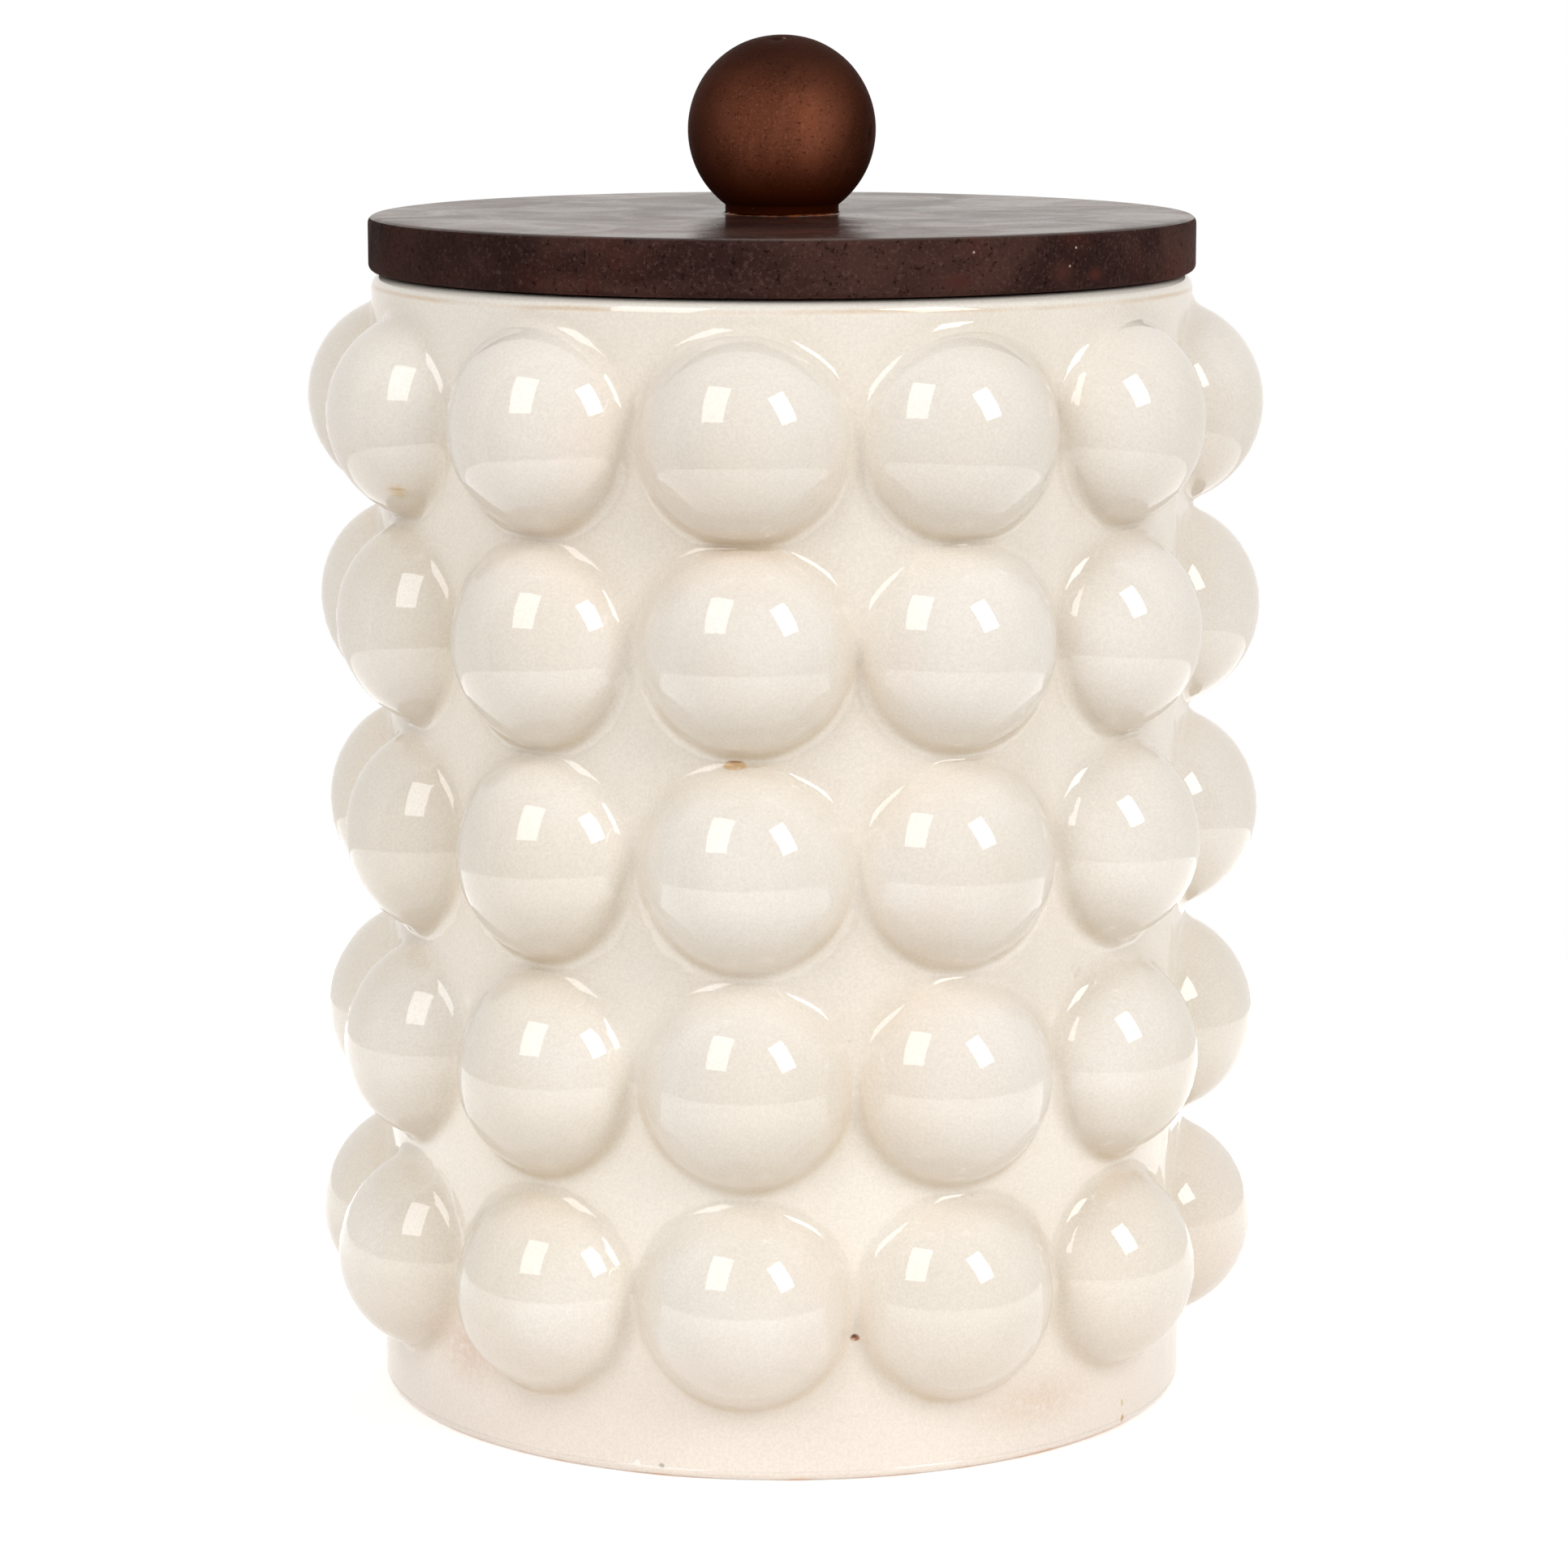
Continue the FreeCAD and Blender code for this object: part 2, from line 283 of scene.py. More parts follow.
def glazeMaterial():
    material, tree, shader = newMaterial("ivory glaze", glaze["gloss"][0], glaze["ior"])
    place = placeOn(tree)
    height = addNode(tree, "SeparateXYZ", {0: place}).outputs["Z"]
    ivory, cream, blush = paint(*glaze["ivory"]), paint(*glaze["cream"]), paint(*glaze["blush"])
    # broad drifts from ivory to cream, then a warmer blush in a few places
    colour = blend(tree, levels(tree, noiseOn(tree, place, glaze["driftScale"], 2.0), 0.38, 0.66), ivory, cream)
    slowWarmth = noiseOn(tree, placeOn(tree, (1, 1, 0.7)), glaze["blushScale"], 3.0, 0.6, 0.4)
    warm = levels(tree, slowWarmth, 0.52, 0.74, 0.0, 0.75)
    colour = blend(tree, warm, colour, blush)
    mottle = levels(tree, noiseOn(tree, place, glaze["mottleScale"], 4.0, 0.62), 0.3, 0.7, 0.0, 0.3)
    colour = blend(tree, mottle, colour, cream)
    # thick and pale on the bare wall, and thinner over the domes
    onWall = levels(tree, attribute(tree, "dome"), 0.0, 1.0, 0.7, 0.0)
    colour = blend(tree, onWall, colour, paint(*glaze["wallWash"]))
    # low on the wall the clay warms it, and it is painted paler there: painted bounce light from the table
    low = levels(tree, height, 0.008, glaze["footBlushAndBounceTop"], 0.7, 0.0)
    colour = blend(tree, low, colour, paint(*glaze["footBlushAndBounce"]))
    # glaze runs down and pools thick and tan round the roots of the bosses; the same tan is also painted shade in the
    # creases there
    poolAndShade, under = attribute(tree, "poolAndShade"), attribute(tree, "underside")
    patches = noiseOn(tree, place, glaze["poolScale"], 3.0)
    patchy = levels(tree, patches, 0.3, 0.75, 0.25, 1.0)
    # the undersides of the domes are painted darker: painted shade beneath each boss
    colour = blend(tree, levels(tree, under, 0.1, 1.0, 0.0, 0.6), colour, paint(*glaze["domeUndersideShade"]))
    thickAndShaded = combine(tree, "MULTIPLY", poolAndShade, levels(tree, under, -0.2, 0.9, 0.3, 1.0))
    colour = blend(tree, combine(tree, "MULTIPLY", thickAndShaded, patchy), colour, paint(*glaze["pooledAndShade"]))
    # darker tan where three surfaces meet: deep glaze pooling, and painted shade in the crevice
    deep = combine(tree, "MULTIPLY", attribute(tree, "web"), patchy)
    colour = blend(tree, levels(tree, deep, 0.15, 1.0, 0.0, 0.8), colour, paint(*glaze["deepPoolAndShade"]))
    # the rim's rounded top is painted paler, a painted highlight as if lit from above; the glaze breaks to clay colour
    # along the rim, and stops short of the foot
    ragged = combine(tree, "MULTIPLY", noiseOn(tree, place, 90, 4.0, 0.6), glaze["lineWander"])
    wander = combine(tree, "MULTIPLY", noiseOn(tree, place, 14, 2.0), glaze["lineWander"])
    rimEdge = glaze["rimHeight"] + glaze["lineWander"] / 2
    overRim = combine(tree, "SUBTRACT", combine(tree, "ADD", height, wander), rimEdge)
    colour = blend(tree, levels(tree, overRim, -0.0003, 0.0006, 0.0, 0.7), colour, paint(*glaze["rimHighlight"]))
    thin = levels(tree, patches, 0.35, 0.65, 0.15, 0.6)
    fromRim = addNode(tree, "Math", {0: overRim}, operation="ABSOLUTE").outputs["Value"]
    rimLine = combine(tree, "MULTIPLY", levels(tree, fromRim, 0.0, 0.0006, 1.0, 0.0), thin)
    colour = blend(tree, rimLine, colour, paint(*glaze["rimLine"]))
    bare = levels(tree, combine(tree, "ADD", height, ragged), *glaze["bareTop"])
    colour = blend(tree, bare, colour, paint(*glaze["bareClay"]))
    peel = noiseOn(tree, place, glaze["peelScale"], 2.0)
    wobble = levels(tree, peel, 0.3, 0.55, 0.45, 1.0)
    for spot, radii, softness, shade in glaze["marks"]:
        share = combine(tree, "MULTIPLY", nearSpot(tree, place, spot, radii, softness), wobble)
        colour = blend(tree, share, colour, paint(*shade))
    # sparse pinhead specks of iron, and a fine grain in the whole glaze
    cells = addNode(tree, "TexVoronoi", {"Vector": place, "Scale": glaze["speckScale"]}, feature="F1")
    chosen = levels(tree, cells.outputs["Color"], 0.90, 0.92)
    dot = combine(tree, "MULTIPLY", levels(tree, cells.outputs["Distance"], 0.035, 0.07, 1.0, 0.0), chosen)
    colour = blend(tree, combine(tree, "MULTIPLY", dot, 0.4), colour, paint(*glaze["speck"]))
    grain = levels(tree, noiseOn(tree, place, glaze["grainScale"], 3.0, 0.7), 0.25, 0.75, 0.93, 1.05)
    grainColour = addNode(tree, "CombineColor", {0: grain, 1: grain, 2: grain}).outputs["Color"]
    colour = blend(tree, 1.0, colour, grainColour, "MULTIPLY")
    tree.links.new(colour, shader.inputs["Base Color"])
    skin = noiseOn(tree, place, glaze["skinScale"], 2.0)
    gloss = levels(tree, skin, 0.3, 0.7, *glaze["gloss"])
    tree.links.new(combine(tree, "MAXIMUM", gloss, combine(tree, "MULTIPLY", bare, 0.75)), shader.inputs["Roughness"])
    spot, radius, rise = glaze["blister"]
    blister = nearSpot(tree, place, spot, (radius, radius, radius), 1.0)
    bumpFrom(tree, shader, (skin, glaze["skinDepth"]), (peel, glaze["peelDepth"]), (blister, rise * metre))
    return material


# The jar

jar = {
    "height": 180.5,
    "wallRadius": 65.5,
    "mouthRadius": 60.5,
    "floorTop": 6.5,
    "floorCorner": 5.4,
    "baseEdge": 1.7,
    "rimOuter": 2.2,
    "rimInner": 1.7,
    "recessRadius": 54.9,
    "recessDepth": 1.5,
    "rowHeights": (26.7, 60.76, 94.51, 127.51, 159.75),
    "columns": 12,
    "frontTurn": -5.0,
    "bossCentre": 60.5,
    "bossRadius": 16.6,
    "rootFillet": 1.6,
    "frontRise": 0.6,
    "columnStray": (0.0, -0.4, -1.3, 0.0, 0.0, 0.0, 0.0, 0.0, 0.0, 0.0, 0.0, 0.0),
    "domeTurn": 36.0,
    "rootTurn": 70.0,
    "domeShare": 0.25,
    "rootShare": 0.6875,
    "edgePower": 2.2,
    "dimpleRadius": 11.2,
    "dimpleFillet": 3.0,
    "pattern": (9.0, 176.2),  # heights between which the rows of bosses shape the wall
    "dimplePattern": (12.7, 173.5),  # and the same inside, for the dimples
    "rimStart": 178.2,
    "outerSteps": 32,
    "innerSteps": 16,
    "handmade": 0.22,
    "waviness": 0.1,
    "leftBow": 2.2,
    "seamTurns": (70.0, 250.0),
    "seamSpan": (6.0, 176.0),
    "seamHeight": 0.25,
    "seamWidth": 1.5,
    "seed": 11,
}


def handmadeBosses():
    # centres and radii of the bosses, each a little off its place; a far row above and below ends the pattern
    rng = np.random.default_rng(jar["seed"])
    heights = np.array([-1e4, *jar["rowHeights"], 1e4])
    turns = np.radians(jar["frontTurn"] + 360 / jar["columns"] * np.arange(jar["columns"]) + jar["columnStray"])
    height, turn = np.meshgrid(heights, turns, indexing="ij")
    stray = rng.normal(size=(4, *height.shape)).clip(-1.6, 1.6) * jar["handmade"]
    reach = jar["bossCentre"] - abs(stray[0]) * 0.4
    turn = turn + stray[1] / jar["wallRadius"]
    rise = jar["frontRise"] * np.cos(turn) * (abs(height) < 1e3)
    centres = np.stack([reach * np.sin(turn), -reach * np.cos(turn), height + rise + stray[2]], -1)
    return centres, jar["bossRadius"] - abs(stray[3]) * 0.4


def bossGrid(steps, rootTurn, rootHeight, lowest, highest):
    # turns and heights over all rows and columns of bosses. In each cell the squares of the grid become rings:
    # wide apart on the dome, close at its root, and from there they spread out to the cell's edge
    centred = np.arange(steps + 1) / steps * 2 - 1
    v, u = np.meshgrid(centred, centred[:-1], indexing="ij")
    out = np.maximum(np.maximum(abs(u), abs(v)), 1e-9)
    aside = abs(u) >= abs(v)
    sideways = np.where(u > 0, 0, math.pi) + math.pi / 4 * v / np.where(u == 0, 1e-9, u)
    upright = np.where(v > 0, math.pi / 2, -math.pi / 2) - math.pi / 4 * u / np.where(v == 0, 1e-9, v)
    angle = np.where(aside, sideways, upright)
    shares = [0, jar["domeShare"], jar["rootShare"]]
    slope = np.radians(np.interp(out, shares, [0, jar["domeTurn"], jar["rootTurn"]]))
    onDome = np.sin(slope) / math.sin(math.radians(jar["rootTurn"]))
    toEdge = np.clip((out - jar["rootShare"]) / (1 - jar["rootShare"]), 0, 1) ** jar["edgePower"]
    heights = np.array(jar["rowHeights"])
    bounds = np.array([lowest, *(heights[1:] + heights[:-1]) / 2, highest])
    halfTurn = math.pi / jar["columns"]
    turn = np.cos(angle) * onDome * rootTurn * (1 - toEdge) + u / out * halfTurn * toEdge
    turns, levelsUp = [], []
    for k, middle in enumerate(heights):
        halfCell = np.where(v < 0, middle - bounds[k], bounds[k + 1] - middle)
        height = np.sin(angle) * onDome * rootHeight * (1 - toEdge) + v / out * halfCell * toEdge
        rows = slice(0, None if k == len(heights) - 1 else -1)
        columnTurns = np.radians(jar["frontTurn"]) + 2 * halfTurn * np.arange(jar["columns"])
        turns.append((columnTurns[None, :, None] + turn[rows, None, :]).reshape(turn[rows].shape[0], -1))
        levelsUp.append(np.tile(middle + height[rows], (1, jar["columns"])))
    return np.concatenate(turns), np.concatenate(levelsUp)


def bossedWall(turn, height, wallRadius, centres, radii, fillet):
    # radius of the wall with its nine nearest balls. Every surface nearer than the fillet adds (fillet - distance)
    # squared, and the joined surface is where the sum is fillet squared; it is found by halving the interval
    count = jar["columns"]
    column = np.round((turn - np.radians(jar["frontTurn"])) / fullTurn * count).astype(int)
    middles = np.array(jar["rowHeights"])
    row = abs(height[..., None] - middles).argmin(-1) + 1
    near = [(row + i, (column + j) % count) for i in (-1, 0, 1) for j in (-1, 0, 1)]
    balls = np.stack([centres[place] for place in near], -2)
    sizes = np.stack([radii[place] for place in near], -1)
    along = np.stack([np.sin(turn), -np.cos(turn), np.zeros_like(turn)], -1)
    base = np.stack([np.zeros_like(turn), np.zeros_like(turn), height], -1)

    def gaps(radius):
        point = base + along * radius[..., None]
        toBalls = np.linalg.norm(point[..., None, :] - balls, axis=-1) - sizes
        return np.concatenate([(radius - wallRadius)[..., None], toBalls], -1)

    low, high = np.full(turn.shape, wallRadius - 3.0), np.full(turn.shape, wallRadius + 16.0)
    for _ in range(26):
        middle = (low + high) / 2
        inside = (np.maximum(fillet - gaps(middle), 0) ** 2).sum(-1) > fillet ** 2
        low, high = np.where(inside, middle, low), np.where(inside, high, middle)
    # the joined surface faces the sum of its neighbours' own directions, each weighed by (fillet - distance)
    distances = gaps(low)
    weight = np.maximum(fillet - distances, 0)
    fromBalls = (base + along * low[..., None])[..., None, :] - balls
    fromBalls /= np.linalg.norm(fromBalls, axis=-1)[..., None]
    facing = weight[..., :1] * along + (weight[..., 1:, None] * fromBalls).sum(-2)
    return low, distances, row, facing / np.linalg.norm(facing, axis=-1)[..., None]


def jarRing(radius, turn, height):
    # points at this radius and height, with the turn counted from the front towards the right
    across = radius * np.sin(turn)
    return np.stack([across, -radius * np.cos(turn), np.broadcast_to(height, across.shape)], -1)


def buildJar():
    centres, radii = handmadeBosses()
    wallRadius, mouthRadius, top = jar["wallRadius"], jar["mouthRadius"], jar["height"]
    outerCount, innerCount = jar["outerSteps"] * jar["columns"], jar["innerSteps"] * jar["columns"]
    halfCell = math.pi / jar["columns"]
    outerTurns = np.radians(jar["frontTurn"]) - halfCell + fullTurn * np.arange(outerCount) / outerCount
    innerTurns = outerTurns[::2]

    # outside: foot, bare wall, bosses, bare wall, rim
    reach = jar["bossCentre"]
    rootHeight = math.sqrt(jar["bossRadius"] ** 2 - (wallRadius - reach) ** 2)
    rootTurn = math.acos((wallRadius ** 2 + reach ** 2 - jar["bossRadius"] ** 2) / (2 * wallRadius * reach))
    lowest, highest = jar["pattern"]
    turn, height = bossGrid(jar["outerSteps"], rootTurn, rootHeight, lowest, highest)
    inPattern = np.clip((height - lowest) / 6, 0, 1) * np.clip((highest - height) / 6, 0, 1)
    height = height + jar["frontRise"] * np.cos(turn) * inPattern
    below, above = np.array([jar["baseEdge"], 3.2, 4.8, 6.3, 7.7]), np.array([177.2, jar["rimStart"]])
    turn = np.concatenate([np.tile(outerTurns, (len(below), 1)), turn, np.tile(outerTurns, (len(above), 1))])
    height = np.concatenate([np.tile(below[:, None], outerCount), height, np.tile(above[:, None], outerCount)])
    radius, gaps, row, facing = bossedWall(turn, height, wallRadius, centres, radii, jar["rootFillet"])
    ordered = np.sort(gaps, axis=-1)
    onWall = np.exp(-np.maximum(gaps[..., 1:].min(-1), 0) / 1.5)
    sideways = np.stack([np.cos(turn), np.sin(turn), np.zeros_like(turn)], -1)
    seamStart, seamEnd = jar["seamSpan"]
    for seam in jar["seamTurns"]:
        away = np.radians((np.degrees(turn) - seam + 180) % 360 - 180) * wallRadius / jar["seamWidth"]
        ends = np.clip((height - seamStart) / 10, 0, 1) * np.clip((seamEnd - height) / 6, 0, 1)
        ridge = jar["seamHeight"] * np.exp(-away ** 2) * (1 - onWall) * ends
        radius = radius + ridge
        facing = facing + sideways * (2 * away * ridge / jar["seamWidth"])[..., None]
    outside = jarRing(radius, turn, height)
    poolAndShade = np.exp(-np.maximum(ordered[..., 1], 0) / 1.6)
    web = np.exp(-np.maximum(ordered[..., 2], 0) / 1.4)
    rowHeight = centres[row, 0, 2]
    onBoss = np.clip(1 - gaps[..., 1:].min(-1), 0, 1)
    dome = np.exp(-np.maximum(gaps[..., 1:].min(-1), 0) / 1.2)
    underside = (rowHeight - height) / jar["bossRadius"] * onBoss

    footPath = fillPath(roundedPath([
        (8, jar["recessDepth"], 0),
        (jar["recessRadius"], jar["recessDepth"], 1.0),
        (jar["recessRadius"], 0, 0.3),
        (wallRadius, 0, jar["baseEdge"]),
        (wallRadius, jar["baseEdge"], 0),
    ], 5), 12)[:-1]
    rimPath = roundedPath([
        (wallRadius, jar["rimStart"], 0),
        (wallRadius, top, jar["rimOuter"]),
        (mouthRadius, top, jar["rimInner"]),
        (mouthRadius, jar["rimStart"], 0),
    ], 7)[1:]
    foot = jarRing(footPath[:, 0][:, None], outerTurns[None, :], footPath[:, 1][:, None])
    rim = jarRing(rimPath[:, 0][:, None], outerTurns[None, :], rimPath[:, 1][:, None])

    # inside: dimples behind the bosses, rounded corner, floor
    dimple = jar["dimpleRadius"]
    turnIn, heightIn = bossGrid(jar["innerSteps"], dimple / mouthRadius, dimple, *jar["dimplePattern"])
    aboveIn = np.array([174.5, 175.8, 177.2])
    turnIn = np.concatenate([turnIn, np.tile(innerTurns, (len(aboveIn), 1))])
    heightIn = np.concatenate([heightIn, np.tile(aboveIn[:, None], innerCount)])
    shrunk = np.full(radii.shape, dimple)
    radiusIn = bossedWall(turnIn, heightIn, mouthRadius, centres, shrunk, jar["dimpleFillet"])[0]
    inside = jarRing(radiusIn, turnIn, heightIn)[::-1]
    floorPath = fillPath(roundedPath([
        (mouthRadius, jar["dimplePattern"][0], 0),
        (mouthRadius, jar["floorTop"], jar["floorCorner"]),
        (8, jar["floorTop"], 0),
    ], 6), 9)[1:]
    floor = jarRing(floorPath[:, 0][:, None], innerTurns[None, :], floorPath[:, 1][:, None])

    outer = np.concatenate([foot, outside, rim])
    inner = np.concatenate([inside, floor])
    poles = [[0, 0, jar["recessDepth"]], [0, 0, jar["floorTop"]]]
    points = np.concatenate([poles[:1], outer.reshape(-1, 3), inner.reshape(-1, 3), poles[1:]])
    innerFirst = 1 + len(outer) * outerCount
    lastOuter, lastInner = innerFirst - outerCount, len(points) - 1 - innerCount
    half = np.arange(innerCount)
    beside = (half + 1) % innerCount
    joint = np.stack([
        lastOuter + 2 * half, lastOuter + 2 * half + 1, lastOuter + 2 * beside,
        innerFirst + beside, innerFirst + half,
    ], -1)
    faces = [
        *fanFaces(0, 1, outerCount, True).tolist(),
        *gridQuads(len(outer), outerCount, 1).tolist(),
        *joint.tolist(),
        *gridQuads(len(inner), innerCount, innerFirst).tolist(),
        *fanFaces(len(points) - 1, lastInner, innerCount, False).tolist(),
    ]

    # the whole wall waves a little, always inwards, and the left side leans in at half height
    flat = points[:, :2]
    wave = jar["waviness"] * (softNoise(points, 55, jar["seed"]).clip(-1, 1) - 1)
    points[:, :2] = flat * (1 + wave / wallRadius)[:, None]
    leftward = np.clip(-points[:, 0] / wallRadius, 0, 1.2) ** 1.5
    points[:, 0] += jar["leftBow"] * leftward * np.sin(math.pi * np.clip(points[:, 2] / top, 0, 1)) ** 2.2

    before, after = 1 + foot.size // 3, rim.size // 3 + inner.size // 3 + 1
    shades = {name: np.concatenate([np.zeros(before), values.ravel(), np.zeros(after)])
              for name, values in (("poolAndShade", poolAndShade), ("web", web), ("underside", underside), ("dome", dome))}
    piece = makePiece("jar", points, faces, "jar", [glazeMaterial()], ["jar_body"], shades)

    # outside, the shading follows the worked out direction of the surface, so that the gloss runs smoothly
    normals = np.empty(len(points) * 3, np.float32)
    piece.data.vertex_normals.foreach_get("vector", normals)
    normals = normals.reshape(-1, 3)
    normals[before:before + turn.size] = facing.reshape(-1, 3)
    piece.data.normals_split_custom_set_from_vertices(normals / np.linalg.norm(normals, axis=1)[:, None])
    return piece


buildJar()


# Wood

def woodMaterial(name, wood):
    material, tree, shader = newMaterial(name, wood["roughness"], wood["ior"])
    shader.inputs["Specular Tint"].default_value = paint(*wood["sheenTint"])
    place = placeOn(tree)
    # slow clouds of stain, warmer where it is thin
    clouds = noiseOn(tree, placeOn(tree, wood["stretch"]), wood["cloudScale"], 4.0, 0.6, 0.6)
    colour = blend(tree, levels(tree, clouds, 0.35, 0.65), paint(*wood["dark"]), paint(*wood["middle"]))
    blotches = noiseOn(tree, place, wood["blotchScale"], 3.0)
    colour = blend(tree, levels(tree, blotches, 0.52, 0.75, 0.0, wood["blotchShare"]), colour, paint(*wood["warm"]))
    # fine stipple of the short end grain: darker pits and paler fibres
    stipple = noiseOn(tree, place, wood["stippleScale"], 3.0, 0.75)
    colour = blend(tree, levels(tree, stipple, 0.5, 0.72, 0.0, 0.55), colour, paint(*wood["light"]))
    pits = levels(tree, noiseOn(tree, place, wood["stippleScale"] * 0.7, 3.0, 0.7), 0.42, 0.33)
    colour = blend(tree, combine(tree, "MULTIPLY", pits, wood["poreShare"]), colour, paint(*wood["pore"]))
    # darker bands across the piece, each from one place on an axis to another
    along = addNode(tree, "SeparateXYZ", {0: place})
    for axis, start, end, startShare, endShare, shade in wood["bands"]:
        share = levels(tree, along.outputs[axis], start, end, startShare, endShare)
        colour = blend(tree, share, colour, paint(*shade))
    # dust in some pits shows as pale specks
    dust = addNode(tree, "TexVoronoi", {"Vector": place, "Scale": wood["dustScale"]}, feature="F1")
    picked = levels(tree, dust.outputs["Color"], 0.80, 0.84)
    speck = combine(tree, "MULTIPLY", levels(tree, dust.outputs["Distance"], 0.08, 0.18, 1.0, 0.0), picked)
    colour = blend(tree, combine(tree, "MULTIPLY", speck, wood["dustShare"]), colour, paint(*wood["dust"]))
    for spot, radii, softness, shade in wood["marks"]:
        colour = blend(tree, nearSpot(tree, place, spot, radii, softness), colour, paint(*shade))
    tree.links.new(colour, shader.inputs["Base Color"])
    worn = noiseOn(tree, place, wood["wornScale"], 4.0, 0.65, 0.8)
    spread = wood["roughnessSpread"]
    rough = levels(tree, worn, 0.3, 0.7, wood["roughness"] - spread, wood["roughness"] + spread)
    tree.links.new(rough, shader.inputs["Roughness"])
    depth = wood["stippleDepth"]
    bumpFrom(tree, shader, (clouds, wood["cloudDepth"]), (stipple, depth), (pits, -depth))
    return material


lidWood = {
    "dark": (40, 25, 23),
    "middle": (62, 39, 34),
    "light": (86, 60, 53),
    "warm": (84, 40, 32),
    "pore": (24, 14, 13),
    "poreShare": 0.75,
    "bands": (),
    "dust": (160, 142, 130),
    "stretch": (0.45, 1.0, 1.0),
    "cloudScale": 55.0,
    "cloudDepth": 0.00003,
    "blotchScale": 75.0,
    "blotchShare": 0.32,
    "stippleScale": 1500.0,
    "stippleDepth": 0.00002,
    "dustScale": 1300.0,
    "dustShare": 0.3,
    "wornScale": 60.0,
    "roughness": 0.25,
    "roughnessSpread": 0.06,
    "ior": 1.26,
    "sheenTint": (255, 230, 214),
    "marks": (
        ((-34.6, 13.0, 189.6), (0.9, 0.9, 0.5), 0.3, (14, 9, 8)),
        ((30.6, -11.5, 189.6), (0.6, 0.6, 0.5), 0.4, (24, 14, 12)),
        ((51.5, -26.4, 189.6), (0.5, 0.5, 0.5), 0.4, (24, 14, 12)),
    ),
}
edgeWood = dict(lidWood, **{
    "dark": (48, 31, 28),
    "middle": (72, 48, 43),
    "light": (100, 74, 67),
    "dustShare": 0.14,
    "stippleDepth": 0.00006,
    "bands": (("X", -0.066, -0.030, 0.5, 0.0, (22, 13, 11)),),  # painted shade: the left side is darker
    "roughness": 0.62,
    "roughnessSpread": 0.08,
    "ior": 1.06,
    "marks": (
        ((42.1, -50.7, 183.8), (3.4, 3.4, 2.4), 1.0, (74, 44, 38)),
        ((47.3, -45.9, 183.1), (2.4, 2.4, 1.6), 1.0, (78, 43, 37)),
        ((26.0, -60.5, 183.0), (4.0, 2.0, 2.0), 1.0, (76, 43, 37)),
        ((44.2, -48.9, 187.3), (0.3, 0.3, 0.25), 0.5, (196, 182, 168)),
        ((43.2, -49.7, 184.6), (0.25, 0.25, 0.25), 0.5, (180, 160, 140)),
        ((28.4, -59.5, 187.3), (0.25, 0.25, 0.25), 0.5, (176, 158, 142)),
    ),
})
knobWood = {
    "dark": (108, 60, 42),
    "middle": (134, 78, 56),
    "light": (160, 104, 80),
    "warm": (136, 74, 48),
    "pore": (44, 20, 13),
    "poreShare": 0.6,
    "bands": (
        ("Z", 0.1915, 0.2025, 0.95, 0.0, (68, 22, 1)),  # painted shade: darker and more orange below the middle
        ("Z", 0.2040, 0.2158, 0.0, 0.92, (40, 20, 14)),  # painted shade: the crown is darker
        ("X", 0.0036, 0.0146, 0.0, 0.92, (40, 14, 4)),  # painted shade: darker towards both sides along X
        ("X", -0.0149, -0.0040, 0.9, 0.0, (44, 18, 10)),
        ("Z", 0.1897, 0.1930, 0.65, 0.0, (30, 6, 1)),  # and darker at the foot
    ),
    "dust": (176, 136, 106),
    "stretch": (1.0, 1.0, 0.8),
    "cloudScale": 70.0,
    "cloudDepth": 0.00002,
    "blotchScale": 60.0,
    "blotchShare": 0.4,
    "stippleScale": 2300.0,
    "stippleDepth": 0.00003,
    "dustScale": 900.0,
    "dustShare": 0.12,
    "wornScale": 90.0,
    "roughness": 0.55,
    "roughnessSpread": 0.06,
    "ior": 1.06,
    "sheenTint": (255, 205, 176),
    "marks": (
        ((-0.8, -4.0, 217.3), (0.9, 0.9, 0.9), 0.6, (40, 22, 16)),
        ((0.4, -3.4, 217.4), (0.4, 0.4, 0.5), 0.6, (120, 86, 68)),
        ((13.9, -5.6, 202.6), (0.6, 0.6, 1.2), 0.5, (40, 20, 14)),
    ),
}

lid = {
    "radius": 65.9,
    "bottom": 180.8,
    "top": 189.6,
    "edgeRound": 1.2,
    "hole": 2.15,
    "columns": 288,
    "waviness": 0.06,
}
plug = {
    "radius": 58.9,
    "bottom": 171.8,
    "edgeRound": 1.0,
    "grooveRadius": 56.5,
    "grooveBottom": 174.5,
    "grooveTop": 178.2,
    "sinkRadius": 4.15,
    "sinkDepth": 0.8,
    "columns": 192,
}


def turnedPiece(name, path, columns, body, materials, replaced, wave=0.0, seed=1, bands=None):
    # a closed profile carried round the axis, with a slight unevenness that only takes material away
    points = turnedGrid(path, columns).reshape(-1, 3)
    faces = closedFaces(len(path), columns)
    shrink = wave * (softNoise(points, 40, seed).clip(-1, 1) - 1)
    points[:, :2] *= (1 + shrink / max(path[:, 0]))[:, None]
    finishes = None if bands is None else np.repeat(bands, columns)
    return makePiece(name, points, faces, body, materials, replaced, None, finishes)


